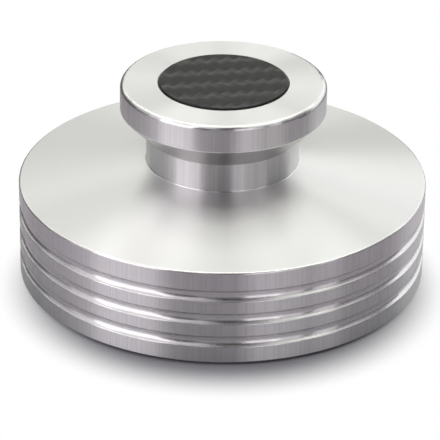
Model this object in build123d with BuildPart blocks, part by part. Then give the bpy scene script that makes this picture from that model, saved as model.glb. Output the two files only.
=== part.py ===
from build123d import *
import os
from math import isclose, radians, tan

# Record weight: a turned aluminium disc with a lifting head, a woven carbon inlay and a felt pad.
# Millimetres, +Z up. The origin is the centre of the pad's lower face, where it rests on the record.

# Whole weight
body_diameter = 80.0
overall_height = 40.45  # from the record to the top of the inlay

# Disc, whose side takes the height that the rest leaves
top_land = 3.8  # plain band between the rim and the first groove
groove_count = 3
groove_width = 2.3
groove_depth = 0.75
bottom_land_extra = 0.75  # how much higher the band under the last groove is than those between grooves

# Shoulder, neck and head
shoulder_rise = 4.2  # climb of the conical top, from the rim to the neck's foot
neck_diameter = 30.0
neck_height = 5.8  # straight stretch of the neck
head_overhang = 5.1  # how far the head reaches past the neck
head_underside_angle = 45.0  # slope of the head's underside
head_band = 5.4  # straight side of the head

# Edge rounds of the turned body
base_edge_round = 0.2
groove_lip_round = 0.15
rim_round = 0.4
neck_foot_round = 0.2
head_lower_round = 0.35
head_upper_round = 1.0

# Spindle bore
spindle_diameter = 7.2
spindle_clearance = 0.1  # each side
bore_depth = 25.0  # from the pad's seat to the end of the straight wall
bore_mouth_chamfer = 0.8
drill_point_angle = 118.0

# Carbon inlay
head_ring = 7.4  # bare metal left round the inlay
inlay_thickness = 1.0
inlay_proud = 0.35  # how far the inlay stands above the head
inlay_clearance = 0.2  # each side
inlay_edge_round = 0.2
inlay_seat_break = 0.15  # chamfer round the mouth of the inlay's seat

# Felt pad
pad_margin = 4.0  # metal left round the pad
pad_thickness = 1.5
pad_proud = 0.5  # how far the pad stands below the disc
pad_clearance = 0.1  # each side
pad_hole_margin = 2.5  # how far the pad stays back from the bore
pad_edge_round = 0.25

# Radii
body_radius = body_diameter / 2
neck_radius = neck_diameter / 2
head_radius = neck_radius + head_overhang
bore_radius = spindle_diameter / 2 + spindle_clearance
inlay_seat_radius = head_radius - head_ring
pad_seat_radius = body_radius - pad_margin

# Heights above the record, from the top down
head_top_z = overall_height - inlay_proud
inlay_seat_z = overall_height - inlay_thickness
head_lower_z = head_top_z - head_band
neck_top_z = head_lower_z - head_overhang * tan(radians(head_underside_angle))
neck_foot_z = neck_top_z - neck_height
rim_z = neck_foot_z - shoulder_rise
underside_z = pad_proud
side_height = rim_z - underside_z
pad_seat_z = pad_thickness
bore_end_z = pad_seat_z + bore_depth
bore_tip_z = bore_end_z + bore_radius / tan(radians(drill_point_angle / 2))

# Grooves: arcs of one radius, sunk to the groove's depth
lands_height = side_height - top_land - groove_count * groove_width
groove_land = (lands_height - bottom_land_extra) / groove_count
groove_pitch = groove_width + groove_land
groove_radius = (groove_width**2 / 4 + groove_depth**2) / (2 * groove_depth)
groove_centre_radius = body_radius + groove_radius - groove_depth
first_groove_z = rim_z - top_land - groove_width / 2
groove_centres = [(groove_centre_radius, first_groove_z - i * groove_pitch) for i in range(groove_count)]


def rings(radius):
    """Round edges of one radius in the part being built, lowest first."""
    circles = edges().filter_by(GeomType.CIRCLE)
    return circles.filter_by(lambda edge: isclose(edge.radius, radius)).sort_by(Axis.Z)


os.makedirs("parts", exist_ok=True)

# Weight body: disc, shoulder, neck and head, turned as one piece
with BuildPart() as weight_body:
    with BuildSketch(Plane.XZ) as turned_section:
        with BuildLine():
            Polyline(
                (0, underside_z),
                (body_radius, underside_z),
                (body_radius, rim_z),
                (neck_radius, neck_foot_z),
                (neck_radius, neck_top_z),
                (head_radius, head_lower_z),
                (head_radius, head_top_z),
                (0, head_top_z),
                close=True,
            )
        make_face()
    revolve(axis=Axis.Z)
    with BuildSketch(Plane.XZ) as groove_section:
        with Locations(*groove_centres):
            Circle(groove_radius)
    revolve(axis=Axis.Z, mode=Mode.SUBTRACT)

    base_edge, *groove_lips, rim_edge = rings(body_radius)
    fillet(base_edge, base_edge_round)
    fillet(groove_lips, groove_lip_round)
    fillet(rim_edge, rim_round)
    fillet(rings(neck_radius)[0], neck_foot_round)
    head_lower_edge, head_upper_edge = rings(head_radius)
    fillet(head_lower_edge, head_lower_round)
    fillet(head_upper_edge, head_upper_round)

    with BuildSketch(Plane.XY.offset(inlay_seat_z)) as inlay_seat:
        Circle(inlay_seat_radius)
    extrude(amount=head_top_z - inlay_seat_z, mode=Mode.SUBTRACT)
    chamfer(rings(inlay_seat_radius)[-1], inlay_seat_break)
    with BuildSketch(Plane.XY.offset(underside_z)) as pad_seat:
        Circle(pad_seat_radius)
    extrude(amount=pad_seat_z - underside_z, mode=Mode.SUBTRACT)
    with BuildSketch(Plane.XZ) as bore_section:
        with BuildLine():
            Polyline(
                (0, pad_seat_z),
                (bore_radius, pad_seat_z),
                (bore_radius, bore_end_z),
                (0, bore_tip_z),
                close=True,
            )
        make_face()
    revolve(axis=Axis.Z, mode=Mode.SUBTRACT)
    chamfer(rings(bore_radius)[0], bore_mouth_chamfer)
weight_body.part.label = "weight_body"
export_step(weight_body.part, "parts/weight_body.step")

# Carbon inlay: a woven disc on the seat in the head
with BuildPart() as carbon_inlay:
    with BuildSketch(Plane.XY.offset(inlay_seat_z)) as inlay_disc:
        Circle(inlay_seat_radius - inlay_clearance)
    extrude(amount=inlay_thickness)
    fillet(edges().sort_by(Axis.Z)[-1], inlay_edge_round)
carbon_inlay.part.label = "carbon_inlay"
export_step(carbon_inlay.part, "parts/carbon_inlay.step")

# Felt pad: a ring on the seat under the disc, open round the bore
with BuildPart() as base_pad:
    with BuildSketch() as pad_ring:
        Circle(pad_seat_radius - pad_clearance)
        Circle(bore_radius + pad_hole_margin, mode=Mode.SUBTRACT)
    extrude(amount=pad_thickness)
    fillet(edges().group_by(Axis.Z)[0], pad_edge_round)
base_pad.part.label = "base_pad"
export_step(base_pad.part, "parts/base_pad.step")
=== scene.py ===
from math import cos, pi, radians, sin, sqrt
from typing import NamedTuple

import bmesh
import bpy
from mathutils import Matrix, Vector


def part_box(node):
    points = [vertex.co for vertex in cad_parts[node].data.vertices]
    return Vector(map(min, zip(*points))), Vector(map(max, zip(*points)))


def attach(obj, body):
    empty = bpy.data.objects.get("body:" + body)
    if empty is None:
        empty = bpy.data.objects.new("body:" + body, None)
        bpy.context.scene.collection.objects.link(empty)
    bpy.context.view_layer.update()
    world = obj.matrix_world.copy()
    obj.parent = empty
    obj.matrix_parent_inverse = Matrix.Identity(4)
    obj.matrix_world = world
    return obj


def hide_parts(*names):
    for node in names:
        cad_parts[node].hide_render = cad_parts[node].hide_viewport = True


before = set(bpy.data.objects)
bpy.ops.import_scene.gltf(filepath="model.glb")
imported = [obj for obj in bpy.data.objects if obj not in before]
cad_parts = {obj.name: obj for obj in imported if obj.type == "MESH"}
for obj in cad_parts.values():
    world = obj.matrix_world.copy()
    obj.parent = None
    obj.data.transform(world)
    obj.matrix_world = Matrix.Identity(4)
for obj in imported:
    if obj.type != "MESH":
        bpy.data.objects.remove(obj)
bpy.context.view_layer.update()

bl_info = {
    "name": "Record Weight Dressing",
    "version": (1, 0, 0),
    "blender": (4, 5, 0),
    "location": "View3D > Sidebar > Record Weight",
    "description": "Gives a turned record weight its metal, woven carbon and felt, and sets its stage",
    "category": "Object",
}

MM = 0.001

# Fineness of the modelled pieces
MERGE = 0.002 * MM  # points closer than this are one point
EDGE_STEPS = 4  # facets round a rounded edge
INLAY_SIDES = 96  # straight cuts round the woven disc
INLAY_SMOOTH = radians(30)  # sharper edges of the inlay stay sharp
PAD_RINGS = 29  # cuts across the felt's faces
PAD_SIDES = 160  # steps round the felt
PAD_SMOOTH = radians(50)  # sharper edges of the felt stay sharp

# Two-by-two twill, counted in tow widths
STRETCH = 2  # how long a tow lies on top
REPEAT = 4  # how soon the pattern comes again
SPARE_ROWS = 3  # rows past the rim, which the trimming takes away

# Faces of the turned body, told apart by how far up their normals point
UPRIGHT = (0.05, 0.3)  # bands, and where they end
LEVEL = (0.92, 0.98)  # where tops begin, and full tops
# Painted shade: faces under the head, told apart here, get a darker metal colour for the head's shadow
UNDERCUT_SHADE = (-0.4, -0.65)  # where faces under the head begin, and full ones

# Noise values between which a pattern goes from one look to the other
MARK_NOISE = (0.6, 1.4)  # tool marks and streaks added up
STREAK_NOISE = (0.4, 0.65)
PATCH_NOISE = (0.3, 0.7)

# Tone of the carbon
PATCH_TONE = (0.55, 1.35)  # dullest and brightest patches of tows
# Painted sheen: a tow is paler at its rising end, as if lit, and darkens over this share of a stretch; the
# rest of its tone comes from its strands
SHEEN_FADE_END = 0.58  # share of a stretch over which it darkens
STRAND_SHARE = 0.3  # how much of a tow's tone comes from its strands
CUT_EDGE = (0.6, 0.95)  # upward part of the normal on the cut edge, and on the woven face

# Stage
PHOTO_WIDTH = 440  # pixels, for the camera's focal length
SENSOR_WIDTH = 36.0  # millimetres
SOFTBOX_DISTANCE = 0.9
AIM = Vector((0, 0, 20 * MM))  # middle of the weight, which the lamps face
WHITE = "ffffff"
LILAC_WHITE = "fff8fe"  # panels that the upright bands show
CREAM_WHITE = "fefff9"  # panels that the tops show


class Softbox(NamedTuple):
    """A lamp panel. Azimuth 0 is the camera's side, 90 is on the right and 180 is behind."""

    name: str
    azimuth: float
    elevation: float
    width: float
    height: float
    radiance: float
    colour: str


SOFTBOXES = (
    Softbox("left", -52, 22, 0.62, 0.8, 1.66, LILAC_WHITE),
    Softbox("left_side", -79.5, 27, 0.27, 0.75, 0.68, LILAC_WHITE),
    Softbox("left_back", -98, 30, 0.32, 0.65, 0.42, LILAC_WHITE),
    Softbox("far_left", -123, 33, 0.48, 0.5, 0.3, WHITE),
    Softbox("front_left", -24, 52, 0.35, 0.45, 0.76, LILAC_WHITE),
    Softbox("front_fill", 0, 12, 0.4, 0.5, 0.2, LILAC_WHITE),
    Softbox("right", 22, 12, 0.28, 0.5, 1.32, LILAC_WHITE),
    Softbox("right_fade", 37, 14, 0.24, 0.5, 0.77, LILAC_WHITE),
    Softbox("right_side", 58, 14, 0.22, 0.45, 0.66, LILAC_WHITE),
    Softbox("right_wall", 78, 26, 1.05, 0.5, 0.19, LILAC_WHITE),
    Softbox("right_mid", 98, 42, 0.4, 0.3, 0.3, LILAC_WHITE),
    Softbox("right_back", 137, 18, 0.85, 0.55, 1.03, WHITE),
    Softbox("back", -168, 27, 0.95, 0.3, 1.15, CREAM_WHITE),
    Softbox("back_left", -146, 46, 0.5, 0.34, 1.1, CREAM_WHITE),
    Softbox("back_right", 146, 46, 0.5, 0.34, 1.45, CREAM_WHITE),
    Softbox("high_back", 180, 66, 0.9, 0.36, 1.7, CREAM_WHITE),
    Softbox("high_left", -97, 61, 0.55, 0.45, 0.74, CREAM_WHITE),
    Softbox("high_right", 95, 62, 0.5, 0.42, 0.92, CREAM_WHITE),
    Softbox("zenith_back", 180, 84, 0.5, 0.3, 2.55, CREAM_WHITE),
    Softbox("zenith_front", 0, 80, 0.5, 0.3, 0.45, CREAM_WHITE),
    Softbox("high_front_left", -52, 60, 0.34, 0.26, 0.5, CREAM_WHITE),
    Softbox("high_front_right", 56, 54, 0.48, 0.36, 0.75, CREAM_WHITE),
)


def linear(hex_colour):
    """Linear RGB of an sRGB hex value such as 'c8c6c4'."""
    channels = [int(hex_colour[i : i + 2], 16) / 255 for i in (0, 2, 4)]
    return tuple(c / 12.92 if c <= 0.04045 else ((c + 0.055) / 1.055) ** 2.4 for c in channels)


def opaque(colour):
    """A colour with full alpha, as sockets want it."""
    return (*colour, 1.0)


class TurnedMetalLook(bpy.types.PropertyGroup):
    """Finish of the turned body"""

    colour: bpy.props.FloatVectorProperty(
        name="Colour",
        description="What the metal reflects",
        subtype="COLOR",
        default=linear("eeeeee"),
    )
    streak_colour: bpy.props.FloatVectorProperty(
        name="Streak colour",
        description="Duller streaks on the upright bands",
        subtype="COLOR",
        default=linear("e5e5e5"),
    )
    # Painted shade: a darker metal colour on faces that look down, standing in for the head's shadow
    painted_undercut_shade: bpy.props.FloatVectorProperty(
        name="Undercut colour",
        description="Duller metal on faces that look down",
        subtype="COLOR",
        default=linear("c4c2c2"),
    )
    side_roughness: bpy.props.FloatProperty(
        name="Side roughness",
        description="Roughness of the upright bands",
        subtype="FACTOR",
        default=0.42,
    )
    round_roughness: bpy.props.FloatProperty(
        name="Round roughness",
        description="Roughness of grooves and rounded edges",
        subtype="FACTOR",
        default=0.24,
    )
    top_roughness: bpy.props.FloatProperty(
        name="Top roughness",
        description="Roughness of the faced tops",
        subtype="FACTOR",
        default=0.4,
    )
    anisotropy: bpy.props.FloatProperty(
        name="Anisotropy",
        description="How far highlights spread across the tool marks",
        subtype="FACTOR",
        default=0.97,
    )
    mark_pitch: bpy.props.FloatProperty(
        name="Mark pitch",
        description="Spacing of the tool marks",
        unit="LENGTH",
        default=0.3 * MM,
    )
    streak_width: bpy.props.FloatProperty(
        name="Streak width",
        description="Width of the upright streaks",
        unit="LENGTH",
        default=0.45 * MM,
    )
    mark_contrast: bpy.props.FloatProperty(
        name="Mark contrast",
        description="Roughness change along marks and streaks",
        subtype="FACTOR",
        default=0.05,
    )


class WovenCarbonLook(bpy.types.PropertyGroup):
    """Weave and finish of the inlay"""

    tow_width: bpy.props.FloatProperty(
        name="Tow width",
        description="Width of one flat bundle of fibres",
        unit="LENGTH",
        default=1.87 * MM,
    )
    tow_crown: bpy.props.FloatProperty(
        name="Tow crown",
        description="Height of a tow's middle above its edges",
        unit="LENGTH",
        default=0.03 * MM,
    )
    tow_steps: bpy.props.IntProperty(
        name="Tow steps",
        description="Faces across one tow",
        default=6,
        min=2,
    )
    turn: bpy.props.FloatProperty(
        name="Turn",
        description="Angle of the first tows to the X axis",
        subtype="ANGLE",
        default=radians(54),
    )
    row_shift: bpy.props.FloatProperty(
        name="Row shift",
        description="How far the zigzag rows lie from the middle",
        unit="LENGTH",
        default=-0.6 * MM,
    )
    edge_round: bpy.props.FloatProperty(
        name="Edge round",
        description="Round of the resin at the cut edge",
        unit="LENGTH",
        default=0.2 * MM,
    )
    glue_width: bpy.props.FloatProperty(
        name="Glue width",
        description="How far the dark glue line reaches past the disc",
        unit="LENGTH",
        default=0.17 * MM,
    )
    glue_drop: bpy.props.FloatProperty(
        name="Glue drop",
        description="How far the glue line lies below the disc's top",
        unit="LENGTH",
        default=0.47 * MM,
    )
    colour: bpy.props.FloatVectorProperty(
        name="Colour",
        description="Carbon fibre under resin",
        subtype="COLOR",
        default=linear("101010"),
    )
    # The paler fibre colour also carries the painted sheen at each tow's rising end
    fibre_colour: bpy.props.FloatVectorProperty(
        name="Fibre colour",
        description="Paler fibres in a tow",
        subtype="COLOR",
        default=linear("4c4c4c"),
    )
    fibre_width: bpy.props.FloatProperty(
        name="Fibre width",
        description="Width of a strand of fibres",
        unit="LENGTH",
        default=0.12 * MM,
    )
    patch_size: bpy.props.FloatProperty(
        name="Patch size",
        description="Size of the patches in which tows differ",
        unit="LENGTH",
        default=1.3 * MM,
    )
    roughness: bpy.props.FloatProperty(
        name="Roughness",
        description="Roughness of the fibres",
        subtype="FACTOR",
        default=0.42,
    )


class FeltLook(bpy.types.PropertyGroup):
    """Shape and finish of the felt pad"""

    edge_round: bpy.props.FloatProperty(
        name="Edge round",
        description="Round of the pad's lower edges",
        unit="LENGTH",
        default=0.25 * MM,
    )
    waviness: bpy.props.FloatProperty(
        name="Waviness",
        description="How unevenly the felt is pressed",
        unit="LENGTH",
        default=0.06 * MM,
    )
    wave_length: bpy.props.FloatProperty(
        name="Wave length",
        description="Size of the uneven patches",
        unit="LENGTH",
        default=5 * MM,
    )
    colour: bpy.props.FloatVectorProperty(
        name="Colour",
        description="Dyed wool",
        subtype="COLOR",
        default=linear("2a2a2c"),
    )
    fibre_colour: bpy.props.FloatVectorProperty(
        name="Fibre colour",
        description="Paler fibres on the surface",
        subtype="COLOR",
        default=linear("4a4a4d"),
    )
    fibre_size: bpy.props.FloatProperty(
        name="Fibre size",
        description="Size of a tuft of fibres",
        unit="LENGTH",
        default=0.35 * MM,
    )


class StageLook(bpy.types.PropertyGroup):
    """Floor and camera"""

    floor_size: bpy.props.FloatProperty(
        name="Floor size",
        description="Side of the floor",
        unit="LENGTH",
        default=6.0,
    )
    floor_gap: bpy.props.FloatProperty(
        name="Floor gap",
        description="Gap under the pad, so that the faces stay apart",
        unit="LENGTH",
        default=0.02 * MM,
    )
    # Grey only in a pool round the weight that fades to white for the camera: a painted shadow pool under
    # the real shadow
    floor_colour: bpy.props.FloatVectorProperty(
        name="Floor colour",
        description="Grey paper round the weight",
        subtype="COLOR",
        default=linear("9a9aa0"),
    )
    # Place, size and fade of the painted shadow pool
    pool_shift: bpy.props.FloatVectorProperty(
        name="Pool shift",
        description="How far the pool of shadow lies from the weight's axis",
        subtype="XYZ",
        unit="LENGTH",
        default=(0.3 * MM, -8 * MM, 0),
    )
    pool_radius: bpy.props.FloatProperty(
        name="Pool radius",
        description="Radius of the paper that keeps its shadow",
        unit="LENGTH",
        default=32.2 * MM,
    )
    pool_fade: bpy.props.FloatProperty(
        name="Pool fade",
        description="Width over which the paper turns to white",
        unit="LENGTH",
        default=13 * MM,
    )
    mirrored_near: bpy.props.FloatVectorProperty(
        name="Mirrored near",
        description="How reflections see the white close by",
        subtype="COLOR",
        default=linear("cec4cd"),
    )
    mirrored_far: bpy.props.FloatVectorProperty(
        name="Mirrored far",
        description="How reflections see the white far off",
        subtype="COLOR",
        default=linear("5c575c"),
    )
    mirrored_paper: bpy.props.FloatVectorProperty(
        name="Mirrored paper",
        description="Radii where the paper starts to end, and ends, in reflections",
        size=2,
        unit="LENGTH",
        default=(42 * MM, 80 * MM),
    )
    mirrored_dimming: bpy.props.FloatVectorProperty(
        name="Mirrored dimming",
        description="Radii where the white starts to dim, and is dimmest, in reflections",
        size=2,
        unit="LENGTH",
        default=(85 * MM, 170 * MM),
    )
    ambient: bpy.props.FloatProperty(
        name="Ambient",
        description="Light from all round",
        default=0.02,
    )
    focal_pixels: bpy.props.FloatProperty(
        name="Focal length",
        description="Focal length in pixels of the photo",
        default=3113.3,
    )
    camera_foot: bpy.props.FloatProperty(
        name="Camera foot",
        description="Height on the axis that the camera circles",
        unit="LENGTH",
        default=0.75 * MM,
    )
    camera_distance: bpy.props.FloatProperty(
        name="Camera distance",
        description="From that place on the axis",
        unit="LENGTH",
        default=0.6216,
    )
    camera_elevation: bpy.props.FloatProperty(
        name="Camera elevation",
        description="Height angle of the camera",
        subtype="ANGLE",
        default=radians(28.287),
    )
    camera_pitch: bpy.props.FloatProperty(
        name="Camera pitch",
        description="Aim below that place on the axis",
        subtype="ANGLE",
        default=radians(-0.7536),
    )
    camera_yaw: bpy.props.FloatProperty(
        name="Camera yaw",
        description="Aim to the left",
        subtype="ANGLE",
        default=radians(0.0381),
    )
    camera_roll: bpy.props.FloatProperty(
        name="Camera roll",
        description="Tilt of the picture",
        subtype="ANGLE",
        default=radians(0.7285),
    )


def add_node(tree, kind, inputs=None, **settings):
    """Adds a node with its settings, and sets or links its inputs."""
    node = tree.nodes.new(kind)
    for name, value in settings.items():
        setattr(node, name, value)
    for socket, value in (inputs or {}).items():
        if isinstance(value, bpy.types.NodeSocket):
            tree.links.new(value, node.inputs[socket])
        else:
            node.inputs[socket].default_value = value
    return node


def new_material(name):
    """An empty node material and its tree."""
    material = bpy.data.materials.new(name)
    material.use_nodes = True
    material.node_tree.nodes.clear()
    return material, material.node_tree


def wear(piece, material):
    """Puts one material on all of a piece."""
    for slot in piece.material_slots:
        slot.material = material
    if not piece.material_slots:
        piece.data.materials.append(material)


# Turned aluminium, satin: the tool's fine rings spread a highlight across them, so tops show a soft radial
# sheen and upright bands show tall faint streaks. Grooves and rounds, cut by a formed tool, are smoother and
# show bright lines. The faces under the head carry painted shade: a darker metal colour stands in for the
# head's shadow there. Real tool marks are finer than the pitch here, and are drawn as coarse as they need
# to show.
def turned_aluminium(look):
    material, tree = new_material("turned_aluminium_satin")
    place = add_node(tree, "ShaderNodeTexCoord")
    axes = add_node(tree, "ShaderNodeSeparateXYZ", {0: place.outputs["Object"]})
    flat = add_node(tree, "ShaderNodeCombineXYZ", {"X": axes.outputs["X"], "Y": axes.outputs["Y"]})
    radius = add_node(tree, "ShaderNodeVectorMath", {0: flat.outputs[0]}, operation="LENGTH")
    section = add_node(
        tree,
        "ShaderNodeCombineXYZ",
        {"X": radius.outputs["Value"], "Y": axes.outputs["Z"]},
    )
    marks = add_node(
        tree,
        "ShaderNodeTexNoise",
        {"Vector": section.outputs[0], "Scale": 1 / look.mark_pitch, "Detail": 2.0},
        noise_dimensions="2D",
    )
    streaks = add_node(
        tree,
        "ShaderNodeTexNoise",
        {"Vector": flat.outputs[0], "Scale": 1 / look.streak_width, "Detail": 2.0},
        noise_dimensions="2D",
    )

    facing = add_node(tree, "ShaderNodeSeparateXYZ", {0: place.outputs["Normal"]})
    slope = add_node(tree, "ShaderNodeMath", {0: facing.outputs["Z"]}, operation="ABSOLUTE")
    upright = add_node(
        tree,
        "ShaderNodeMapRange",
        {
            "Value": slope.outputs[0],
            "From Min": UPRIGHT[0],
            "From Max": UPRIGHT[1],
            "To Min": 1.0,
            "To Max": 0.0,
        },
    )
    level = add_node(
        tree,
        "ShaderNodeMapRange",
        {"Value": slope.outputs[0], "From Min": LEVEL[0], "From Max": LEVEL[1]},
    )
    # Mask of the painted shade under the head
    undercut_shade_mask = add_node(
        tree,
        "ShaderNodeMapRange",
        {"Value": facing.outputs["Z"], "From Min": UNDERCUT_SHADE[0], "From Max": UNDERCUT_SHADE[1]},
    )

    side_extra = look.side_roughness - look.round_roughness
    marked = add_node(
        tree,
        "ShaderNodeMath",
        {0: marks.outputs[0], 1: streaks.outputs[0]},
        operation="ADD",
    )
    side = add_node(
        tree,
        "ShaderNodeMapRange",
        {
            "Value": marked.outputs[0],
            "From Min": MARK_NOISE[0],
            "From Max": MARK_NOISE[1],
            "To Min": side_extra - look.mark_contrast,
            "To Max": side_extra + look.mark_contrast,
        },
    )
    sides_and_rounds = add_node(
        tree,
        "ShaderNodeMath",
        {0: upright.outputs[0], 1: side.outputs[0], 2: look.round_roughness},
        operation="MULTIPLY_ADD",
    )
    roughness = add_node(
        tree,
        "ShaderNodeMath",
        {0: level.outputs[0], 1: look.top_roughness - look.round_roughness, 2: sides_and_rounds.outputs[0]},
        operation="MULTIPLY_ADD",
    )

    dull = add_node(
        tree,
        "ShaderNodeMapRange",
        {
            "Value": streaks.outputs[0],
            "From Min": STREAK_NOISE[0],
            "From Max": STREAK_NOISE[1],
            "To Max": upright.outputs[0],
        },
    )
    streaked = add_node(
        tree,
        "ShaderNodeMix",
        {"Factor": dull.outputs[0], "A": opaque(look.colour), "B": opaque(look.streak_colour)},
        data_type="RGBA",
    )
    # Mixes the painted shade into the faces that look down
    colour = add_node(
        tree,
        "ShaderNodeMix",
        {
            "Factor": undercut_shade_mask.outputs[0],
            "A": streaked.outputs["Result"],
            "B": opaque(look.painted_undercut_shade),
        },
        data_type="RGBA",
    )

    rings = add_node(tree, "ShaderNodeTangent", direction_type="RADIAL", axis="Z")
    shader = add_node(
        tree,
        "ShaderNodeBsdfPrincipled",
        {
            "Base Color": colour.outputs["Result"],
            "Metallic": 1.0,
            "Roughness": roughness.outputs[0],
            "Anisotropic": look.anisotropy,
            "Anisotropic Rotation": 0.25,
            "Tangent": rings.outputs[0],
        },
    )
    add_node(tree, "ShaderNodeOutputMaterial", {"Surface": shader.outputs[0]})
    return material


# Woven carbon in satin resin: dark fibres shine along each tow. Each tow carries a painted sheen: it is
# paler at the end where it rises from under the last one, as if lit there, so the two directions of the
# twill show as soft zigzag rows. Tows differ a little from patch to patch, and the cut edge and the glue
# line are plain dark.
# Single fibres are far finer than the strands here, which are drawn as coarse as they need to show.
def woven_carbon(look):
    material, tree = new_material("woven_carbon_satin_resin")
    along = add_node(tree, "ShaderNodeUVMap", uv_map="UVMap")
    parts = add_node(tree, "ShaderNodeSeparateXYZ", {0: along.outputs[0]})
    stretch = add_node(
        tree,
        "ShaderNodeMapping",
        {"Vector": along.outputs[0], "Scale": (STRETCH, look.tow_width / look.fibre_width, 1.0)},
    )
    strands = add_node(
        tree,
        "ShaderNodeTexNoise",
        {"Vector": stretch.outputs[0], "Scale": 1.0, "Detail": 2.0},
    )
    # Painted sheen: paler at the end where a tow rises, darker along it
    painted_rise_sheen = add_node(
        tree,
        "ShaderNodeMapRange",
        {"Value": parts.outputs["X"], "From Max": SHEEN_FADE_END, "To Min": 1.0, "To Max": 0.0},
        interpolation_type="SMOOTHSTEP",
    )
    sheen_and_strands = add_node(
        tree,
        "ShaderNodeMix",
        {"Factor": STRAND_SHARE, "A": painted_rise_sheen.outputs[0], "B": strands.outputs[0]},
        data_type="FLOAT",
    )

    place = add_node(tree, "ShaderNodeTexCoord")
    patches = add_node(
        tree,
        "ShaderNodeTexNoise",
        {"Vector": place.outputs["Object"], "Scale": 1 / look.patch_size, "Detail": 1.0},
    )
    uneven = add_node(
        tree,
        "ShaderNodeMapRange",
        {
            "Value": patches.outputs[0],
            "From Min": PATCH_NOISE[0],
            "From Max": PATCH_NOISE[1],
            "To Min": PATCH_TONE[0],
            "To Max": PATCH_TONE[1],
        },
    )
    facing = add_node(tree, "ShaderNodeSeparateXYZ", {0: place.outputs["Normal"]})
    on_top = add_node(
        tree,
        "ShaderNodeMapRange",
        {
            "Value": facing.outputs["Z"],
            "From Min": CUT_EDGE[0],
            "From Max": CUT_EDGE[1],
            "To Max": uneven.outputs[0],
        },
    )
    tone = add_node(
        tree,
        "ShaderNodeMath",
        {0: sheen_and_strands.outputs[0], 1: on_top.outputs[0]},
        operation="MULTIPLY",
    )
    # Mixes towards the paler fibre colour by the painted sheen, the strands and the patches
    colour = add_node(
        tree,
        "ShaderNodeMix",
        {"Factor": tone.outputs[0], "A": opaque(look.colour), "B": opaque(look.fibre_colour)},
        data_type="RGBA",
    )

    tangent = add_node(tree, "ShaderNodeTangent", direction_type="UV_MAP", uv_map="UVMap")
    shader = add_node(
        tree,
        "ShaderNodeBsdfPrincipled",
        {
            "Base Color": colour.outputs["Result"],
            "Roughness": look.roughness,
            "Specular IOR Level": 0.3,
            "Anisotropic": 0.6,
            "Tangent": tangent.outputs[0],
        },
    )
    add_node(tree, "ShaderNodeOutputMaterial", {"Surface": shader.outputs[0]})
    return material


# Pressed wool felt: matt, with short fibres lying every way that give a soft pale edge to the dark. Single
# fibres are too fine to show, so they are drawn as tufts.
def pressed_felt(look):
    material, tree = new_material("pressed_wool_felt")
    place = add_node(tree, "ShaderNodeTexCoord")
    tufts = add_node(
        tree,
        "ShaderNodeTexNoise",
        {
            "Vector": place.outputs["Object"],
            "Scale": 1 / look.fibre_size,
            "Detail": 4.0,
            "Roughness": 0.7,
            "Distortion": 1.5,
        },
    )
    colour = add_node(
        tree,
        "ShaderNodeMix",
        {"Factor": tufts.outputs[0], "A": opaque(look.colour), "B": opaque(look.fibre_colour)},
        data_type="RGBA",
    )
    bump = add_node(
        tree,
        "ShaderNodeBump",
        {"Height": tufts.outputs[0], "Strength": 0.6, "Distance": look.fibre_size / 3},
    )
    shader = add_node(
        tree,
        "ShaderNodeBsdfPrincipled",
        {
            "Base Color": colour.outputs["Result"],
            "Roughness": 0.95,
            "Sheen Weight": 0.3,
            "Sheen Roughness": 0.6,
            "Normal": bump.outputs[0],
        },
    )
    add_node(tree, "ShaderNodeOutputMaterial", {"Surface": shader.outputs[0]})
    return material


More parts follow.
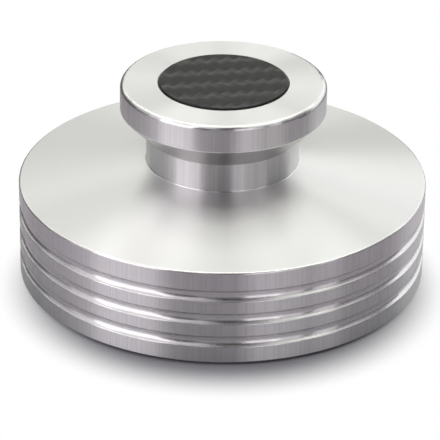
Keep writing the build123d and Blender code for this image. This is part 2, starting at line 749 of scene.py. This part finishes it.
# Matt grey paper under the weight: it takes the shadow and shows no reflection. To the camera it turns to
# plain white a little further out, so the grey left round the weight, set towards the camera and fading to
# white, is a painted shadow pool under the real shadow. Reflections see the paper for longer, and then a
# dimmer white that falls off with distance, so that the upright bands of the metal keep their depth.
def studio_paper(look):
    material, tree = new_material("studio_paper_matt")
    place = add_node(tree, "ShaderNodeTexCoord")
    reach = add_node(
        tree,
        "ShaderNodeVectorMath",
        {0: place.outputs["Object"], 1: look.pool_shift},
        operation="DISTANCE",
    )
    ray = add_node(tree, "ShaderNodeLightPath")
    bounced = add_node(
        tree,
        "ShaderNodeMath",
        {0: ray.outputs["Is Glossy Ray"], 1: ray.outputs["Is Transmission Ray"]},
        operation="MAXIMUM",
    )
    seen = add_node(
        tree,
        "ShaderNodeMath",
        {0: ray.outputs["Is Camera Ray"], 1: bounced.outputs[0]},
        operation="MAXIMUM",
    )

    # Painted shadow pool: for the camera the grey paper ends in a soft circle set towards the camera, and
    # beyond it is white
    shadow_pool_edge = add_node(
        tree,
        "ShaderNodeMapRange",
        {
            "Value": reach.outputs["Value"],
            "From Min": look.pool_radius,
            "From Max": look.pool_radius + look.pool_fade,
        },
        interpolation_type="SMOOTHSTEP",
    )
    mirrored_fade = add_node(
        tree,
        "ShaderNodeMapRange",
        {
            "Value": reach.outputs["Value"],
            "From Min": look.mirrored_paper[0],
            "From Max": look.mirrored_paper[1],
        },
        interpolation_type="SMOOTHSTEP",
    )
    fade = add_node(
        tree,
        "ShaderNodeMix",
        {"Factor": bounced.outputs[0], "A": shadow_pool_edge.outputs[0], "B": mirrored_fade.outputs[0]},
        data_type="FLOAT",
    )
    share = add_node(
        tree,
        "ShaderNodeMath",
        {0: fade.outputs[0], 1: seen.outputs[0]},
        operation="MULTIPLY",
    )

    dimming = add_node(
        tree,
        "ShaderNodeMapRange",
        {
            "Value": reach.outputs["Value"],
            "From Min": look.mirrored_dimming[0],
            "From Max": look.mirrored_dimming[1],
        },
    )
    mirrored = add_node(
        tree,
        "ShaderNodeMix",
        {"Factor": dimming.outputs[0], "A": opaque(look.mirrored_near), "B": opaque(look.mirrored_far)},
        data_type="RGBA",
    )
    tone = add_node(
        tree,
        "ShaderNodeMix",
        {"Factor": bounced.outputs[0], "A": opaque(linear(WHITE)), "B": mirrored.outputs["Result"]},
        data_type="RGBA",
    )

    white = add_node(tree, "ShaderNodeEmission", {"Color": tone.outputs["Result"]})
    paper = add_node(
        tree,
        "ShaderNodeBsdfPrincipled",
        {"Base Color": opaque(look.floor_colour), "Roughness": 1.0, "Specular IOR Level": 0.0},
    )
    shader = add_node(
        tree,
        "ShaderNodeMixShader",
        {0: share.outputs[0], 1: paper.outputs[0], 2: white.outputs[0]},
    )
    add_node(tree, "ShaderNodeOutputMaterial", {"Surface": shader.outputs[0]})
    return material


def select_only(piece):
    """Leaves one piece selected and active."""
    bpy.ops.object.select_all(action="DESELECT")
    piece.select_set(True)
    bpy.context.view_layer.objects.active = piece


def named(piece, name):
    """Names a piece and its mesh."""
    piece.name = name
    piece.data.name = name
    return piece


def pick(piece, kind, test):
    """Selects the verts, edges or faces of a piece in edit mode that pass a test, and no others."""
    bpy.ops.mesh.select_all(action="DESELECT")
    mesh = bmesh.from_edit_mesh(piece.data)
    for element in getattr(mesh, kind):
        if test(element):
            element.select_set(True)
    mesh.select_flush(True)
    bmesh.update_edit_mesh(piece.data)


def finish_mesh():
    """Merges the doubles of the piece in edit mode, turns its faces outwards and leaves edit mode."""
    bpy.ops.mesh.select_all(action="SELECT")
    bpy.ops.mesh.remove_doubles(threshold=MERGE)
    bpy.ops.mesh.normals_make_consistent(inside=False)
    bpy.ops.object.mode_set(mode="OBJECT")


def add_tow(look):
    """One stretch of a tow that lies on top, with a low crown that falls to its edges."""
    bpy.ops.object.select_all(action="DESELECT")
    bpy.ops.mesh.primitive_grid_add(
        x_subdivisions=STRETCH * look.tow_steps, y_subdivisions=look.tow_steps, size=1, calc_uvs=True
    )
    tow = bpy.context.object
    bpy.ops.object.mode_set(mode="EDIT")
    bpy.ops.transform.resize(value=(STRETCH * look.tow_width, look.tow_width, 1))
    bpy.ops.object.mode_set(mode="OBJECT")
    for vertex in tow.data.vertices:
        along = abs(vertex.co.x) / look.tow_width / STRETCH * 2
        across = abs(vertex.co.y) / look.tow_width * 2
        vertex.co.z = look.tow_crown * (1 - along**2) * (1 - across**4)
    return tow


def twill_places(look, reach):
    """Where stretches on top lie in a two-by-two twill: centre along both tow directions, and turn."""
    count = int(reach / look.tow_width) + SPARE_ROWS
    steps = range(-count, count + 1)
    for i in steps:
        for j in steps:
            if (i + j) % REPEAT == 0:
                yield (i + 0.5) * look.tow_width, j * look.tow_width, 0.0
            if (i + j) % REPEAT == STRETCH:
                yield i * look.tow_width, (j + 0.5) * look.tow_width, -pi / 2


def weave(look, radius):
    """A flat sheet of twill, a little wider than a disc of that radius."""
    tow = add_tow(look)
    shift = look.row_shift / sqrt(2)
    cloth = Matrix.Rotation(look.turn, 4, "Z") @ Matrix.Translation((shift, shift, 0))
    copies = []
    for u, v, turn in twill_places(look, radius):
        if sqrt(u * u + v * v) > radius + STRETCH * look.tow_width:
            continue
        copy = tow.copy()
        copy.data = tow.data.copy()
        copy.matrix_world = cloth @ Matrix.Translation((u, v, 0)) @ Matrix.Rotation(turn, 4, "Z")
        bpy.context.scene.collection.objects.link(copy)
        copies.append(copy)
    bpy.data.objects.remove(tow)
    select_only(copies[0])
    for copy in copies[1:]:
        copy.select_set(True)
    bpy.ops.object.join()
    sheet = bpy.context.object
    bpy.ops.object.transform_apply(location=True, rotation=True, scale=True)
    bpy.ops.object.mode_set(mode="EDIT")
    bpy.ops.mesh.select_all(action="SELECT")
    bpy.ops.mesh.remove_doubles(threshold=MERGE)
    bpy.ops.object.mode_set(mode="OBJECT")
    return sheet


def trim_round(radius):
    """Cuts the active sheet to a disc with straight cuts all round."""
    bpy.ops.object.mode_set(mode="EDIT")
    for side in range(INLAY_SIDES):
        angle = 2 * pi * side / INLAY_SIDES
        outward = Vector((cos(angle), sin(angle), 0))
        bpy.ops.mesh.select_all(action="SELECT")
        bpy.ops.mesh.bisect(
            plane_co=outward * radius, plane_no=outward, clear_outer=True, threshold=MERGE
        )
    bpy.ops.object.mode_set(mode="OBJECT")


def close_below(sheet, look, outer, top, bottom):
    """Rounds a trimmed sheet's edge over, takes it past the glue line to the seat and closes it."""
    rings = []
    for step in range(1, EDGE_STEPS + 1):
        angle = pi / 2 * step / EDGE_STEPS
        inset = look.edge_round * (1 - sin(angle))
        drop = look.edge_round * (1 - cos(angle))
        rings.append((outer - inset, top - drop))
    rings.append((outer, top - look.glue_drop))
    rings.append((outer + look.glue_width, top - look.glue_drop))
    rings.append((outer + look.glue_width, bottom))
    bpy.ops.object.mode_set(mode="EDIT")
    pick(sheet, "edges", lambda edge: edge.is_boundary)
    reach = outer - look.edge_round
    for wider, level in rings:
        bpy.ops.mesh.extrude_region_move()
        bpy.ops.transform.resize(value=(wider / reach, wider / reach, 0), center_override=(0, 0, level))
        reach = wider
    bpy.ops.mesh.edge_face_add()
    finish_mesh()


def pad_hole_radius():
    """Radius of the hole in the felt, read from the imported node."""
    return min(Vector(v.co[:2]).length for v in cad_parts["base_pad"].data.vertices)


def pad_outline(look, inner, outer, bottom, top):
    """The felt's section as a loop of edges, with rounded lower corners and its long edges cut up."""
    middle = ((inner + outer) / 2, 0, (bottom + top) / 2)
    bpy.ops.object.select_all(action="DESELECT")
    bpy.ops.mesh.primitive_plane_add(size=1, location=middle, rotation=(pi / 2, 0, 0))
    outline = bpy.context.object
    bpy.ops.object.transform_apply(location=True, rotation=True, scale=True)
    bpy.ops.object.mode_set(mode="EDIT")
    bpy.ops.transform.resize(value=(outer - inner, 1, top - bottom), center_override=middle)
    pick(outline, "verts", lambda vertex: vertex.co.z < middle[2])
    bpy.ops.mesh.bevel(offset=look.edge_round, segments=EDGE_STEPS, affect="VERTICES")
    bpy.ops.mesh.select_all(action="SELECT")
    bpy.ops.mesh.delete(type="ONLY_FACE")
    pick(outline, "edges", lambda edge: edge.calc_length() > (outer - inner) / 2)
    bpy.ops.mesh.subdivide(number_cuts=PAD_RINGS)
    bpy.ops.object.mode_set(mode="OBJECT")
    return outline


def spin_round(sides):
    """Spins the active outline once round the Z axis into a closed ring."""
    bpy.ops.object.mode_set(mode="EDIT")
    bpy.ops.mesh.select_all(action="SELECT")
    bpy.ops.mesh.spin(steps=sides, angle=2 * pi, center=(0, 0, 0), axis=(0, 0, 1))
    finish_mesh()


def press(pad, look):
    """Sinks the felt unevenly, inwards only."""
    clouds = bpy.data.textures.new("felt_patches", "CLOUDS")
    clouds.noise_scale = look.wave_length
    uneven = pad.modifiers.new("uneven", "DISPLACE")
    uneven.texture = clouds
    uneven.texture_coords = "LOCAL"
    uneven.mid_level = 1.0
    uneven.strength = look.waviness
    select_only(pad)
    bpy.ops.object.modifier_apply(modifier=uneven.name)


def studio_world(look):
    """A world that the camera sees as white, and that lights the weight only faintly."""
    world = bpy.data.worlds.new("studio")
    world.use_nodes = True
    tree = world.node_tree
    tree.nodes.clear()
    ray = add_node(tree, "ShaderNodeLightPath")
    strength = add_node(
        tree,
        "ShaderNodeMath",
        {0: ray.outputs["Is Camera Ray"], 1: look.ambient},
        operation="MAXIMUM",
    )
    background = add_node(
        tree,
        "ShaderNodeBackground",
        {"Color": opaque(linear(WHITE)), "Strength": strength.outputs[0]},
    )
    add_node(tree, "ShaderNodeOutputWorld", {"Surface": background.outputs[0]})
    return world


def direction(azimuth, elevation):
    """Unit vector to a place round the object, in the row frame, from degrees."""
    a = radians(azimuth)
    e = radians(elevation)
    return Vector((sin(a) * cos(e), -cos(a) * cos(e), sin(e)))


def add_softbox(panel):
    """Hangs a lamp panel that faces the weight. At a radiance of 1 its mirror image is just white."""
    lamp = bpy.data.lights.new(panel.name, "AREA")
    lamp.shape = "RECTANGLE"
    lamp.size = panel.width
    lamp.size_y = panel.height
    lamp.energy = panel.radiance * pi * panel.width * panel.height
    lamp.color = linear(panel.colour)
    box = bpy.data.objects.new(panel.name, lamp)
    outward = direction(panel.azimuth, panel.elevation)
    box.location = AIM + outward * SOFTBOX_DISTANCE
    box.rotation_euler = outward.to_track_quat("Z", "Y").to_euler()
    bpy.context.scene.collection.objects.link(box)


def add_camera(look):
    """Sets the camera where the photo was taken from."""
    data = bpy.data.cameras.new("camera")
    data.sensor_width = SENSOR_WIDTH
    data.lens = look.focal_pixels / PHOTO_WIDTH * SENSOR_WIDTH
    elevation = look.camera_elevation
    aim_down = elevation + look.camera_pitch
    foot = Vector((0, 0, look.camera_foot))
    place = foot + Vector((0, -cos(elevation), sin(elevation))) * look.camera_distance
    ahead = Matrix.Rotation(look.camera_yaw, 3, "Z") @ Vector((0, cos(aim_down), -sin(aim_down)))
    level = ahead.cross(Vector((0, 0, 1))).normalized()
    above = level.cross(ahead)
    right = cos(look.camera_roll) * level + sin(look.camera_roll) * above
    up = cos(look.camera_roll) * above - sin(look.camera_roll) * level
    turn = Matrix((right, up, -ahead)).transposed().to_4x4()
    camera = bpy.data.objects.new("camera", data)
    camera.matrix_world = Matrix.Translation(place) @ turn
    bpy.context.scene.collection.objects.link(camera)
    bpy.context.scene.camera = camera


class RECORD_WEIGHT_OT_body(bpy.types.Operator):
    """Gives the turned body its metal"""

    bl_idname = "record_weight.body"
    bl_label = "Turned body"

    def execute(self, context):
        wear(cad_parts["weight_body"], turned_aluminium(context.scene.record_weight_metal))
        return {"FINISHED"}


class RECORD_WEIGHT_OT_inlay(bpy.types.Operator):
    """Weaves the carbon inlay into the head"""

    bl_idname = "record_weight.inlay"
    bl_label = "Carbon inlay"

    def execute(self, context):
        look = context.scene.record_weight_carbon
        low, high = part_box("carbon_inlay")
        radius = (high[0] - low[0]) / 2
        edge_z = high[2] - look.tow_crown
        inlay = named(weave(look, radius), "woven_inlay")
        bpy.ops.transform.translate(value=(0, 0, edge_z))
        bpy.ops.object.transform_apply(location=True, rotation=True, scale=True)
        trim_round(radius - look.edge_round)
        close_below(inlay, look, radius, edge_z, low[2])
        select_only(inlay)
        bpy.ops.object.shade_smooth_by_angle(angle=INLAY_SMOOTH)
        wear(inlay, woven_carbon(look))
        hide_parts("carbon_inlay")
        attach(inlay, "root")
        return {"FINISHED"}


class RECORD_WEIGHT_OT_pad(bpy.types.Operator):
    """Presses the felt pad under the disc"""

    bl_idname = "record_weight.pad"
    bl_label = "Felt pad"

    def execute(self, context):
        look = context.scene.record_weight_felt
        low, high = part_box("base_pad")
        outer = (high[0] - low[0]) / 2
        pad = named(pad_outline(look, pad_hole_radius(), outer, low[2], high[2]), "felt_pad")
        spin_round(PAD_SIDES)
        press(pad, look)
        bpy.ops.object.shade_smooth_by_angle(angle=PAD_SMOOTH)
        wear(pad, pressed_felt(look))
        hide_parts("base_pad")
        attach(pad, "root")
        return {"FINISHED"}


class RECORD_WEIGHT_OT_stage(bpy.types.Operator):
    """Sets the floor, the lamps and the camera"""

    bl_idname = "record_weight.stage"
    bl_label = "Stage"

    def execute(self, context):
        look = context.scene.record_weight_stage
        bpy.ops.object.select_all(action="DESELECT")
        bpy.ops.mesh.primitive_plane_add(size=look.floor_size, location=(0, 0, -look.floor_gap))
        floor = named(context.object, "floor")
        wear(floor, studio_paper(look))
        context.scene.world = studio_world(look)
        for panel in SOFTBOXES:
            add_softbox(panel)
        add_camera(look)
        context.scene.view_settings.view_transform = "Standard"
        return {"FINISHED"}


OPERATORS = (
    RECORD_WEIGHT_OT_body,
    RECORD_WEIGHT_OT_inlay,
    RECORD_WEIGHT_OT_pad,
    RECORD_WEIGHT_OT_stage,
)


class RECORD_WEIGHT_PT_panel(bpy.types.Panel):
    """Lists the pieces of the record weight"""

    bl_idname = "RECORD_WEIGHT_PT_panel"
    bl_label = "Record Weight"
    bl_space_type = "VIEW_3D"
    bl_region_type = "UI"
    bl_category = "Record Weight"

    def draw(self, context):
        for operator in OPERATORS:
            self.layout.operator(operator.bl_idname)


LOOKS = {
    "record_weight_metal": TurnedMetalLook,
    "record_weight_carbon": WovenCarbonLook,
    "record_weight_felt": FeltLook,
    "record_weight_stage": StageLook,
}
CLASSES = (*LOOKS.values(), *OPERATORS, RECORD_WEIGHT_PT_panel)


def register():
    for cls in CLASSES:
        bpy.utils.register_class(cls)
    for name, look in LOOKS.items():
        setattr(bpy.types.Scene, name, bpy.props.PointerProperty(type=look))


def unregister():
    for name in LOOKS:
        delattr(bpy.types.Scene, name)
    for cls in reversed(CLASSES):
        bpy.utils.unregister_class(cls)


def main():
    register()
    bpy.ops.record_weight.body()
    bpy.ops.record_weight.inlay()
    bpy.ops.record_weight.pad()
    bpy.ops.record_weight.stage()


if __name__ == "__main__":
    main()
